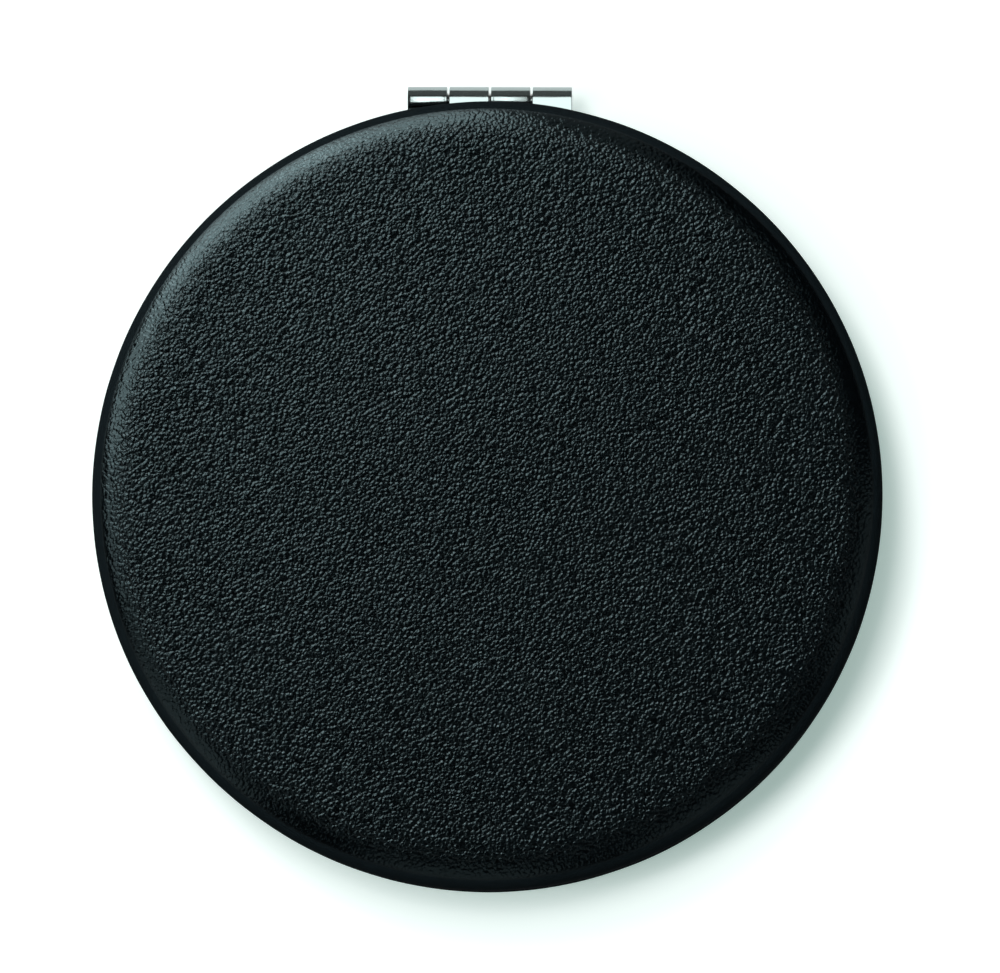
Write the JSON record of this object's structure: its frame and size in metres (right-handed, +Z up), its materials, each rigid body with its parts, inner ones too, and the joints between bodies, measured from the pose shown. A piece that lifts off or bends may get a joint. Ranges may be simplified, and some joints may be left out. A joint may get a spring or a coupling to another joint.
{
  "type": "compact mirror",
  "caption": "Round pocket mirror that folds shut: padded leather-covered halves on a small metal hinge, each holding a mirror in a metal ring, kept closed by magnets.",
  "frame": {"origin": "centre of the flat face that the closed case lies on", "axes": "+Z up through the closed case, +Y towards the hinge, +X to the right with the hinge at the top of the picture"},
  "size_m": [0.07, 0.0716, 0.012],
  "materials": {
    "leather": "satin",
    "foam": "matte",
    "tinplate": "satin",
    "board": "matte",
    "adhesive_sheet": "matte",
    "mirror_glass": "polished",
    "polished_ring": "polished",
    "hinge_metal": "polished",
    "pin_steel": "satin",
    "magnet_plating": "satin"
  },
  "bodies": {
    "base": {"base_cover": "leather", "base_padding": "foam", "base_tray": "tinplate", "base_board": "board", "base_hinge_leaf": "hinge_metal", "base_rivets": "pin_steel", "base_magnet": "magnet_plating", "base_mirror_tape": "adhesive_sheet", "base_mirror": "mirror_glass", "base_frame_ring": "polished_ring", "hinge_pin": "pin_steel"},
    "lid": {"lid_cover": "leather", "lid_padding": "foam", "lid_tray": "tinplate", "lid_board": "board", "lid_hinge_leaf": "hinge_metal", "lid_rivets": "pin_steel", "lid_magnet": "magnet_plating", "lid_mirror_tape": "adhesive_sheet", "lid_mirror": "mirror_glass", "lid_frame_ring": "polished_ring"}
  },
  "joints": [
    {"name": "lid_hinge", "type": "hinge", "parent": "base", "child": "lid", "pos_m": [0, 0.0354, 0.006], "axis": [-1, 0, 0], "range_deg": [0, 180]}
  ]
}
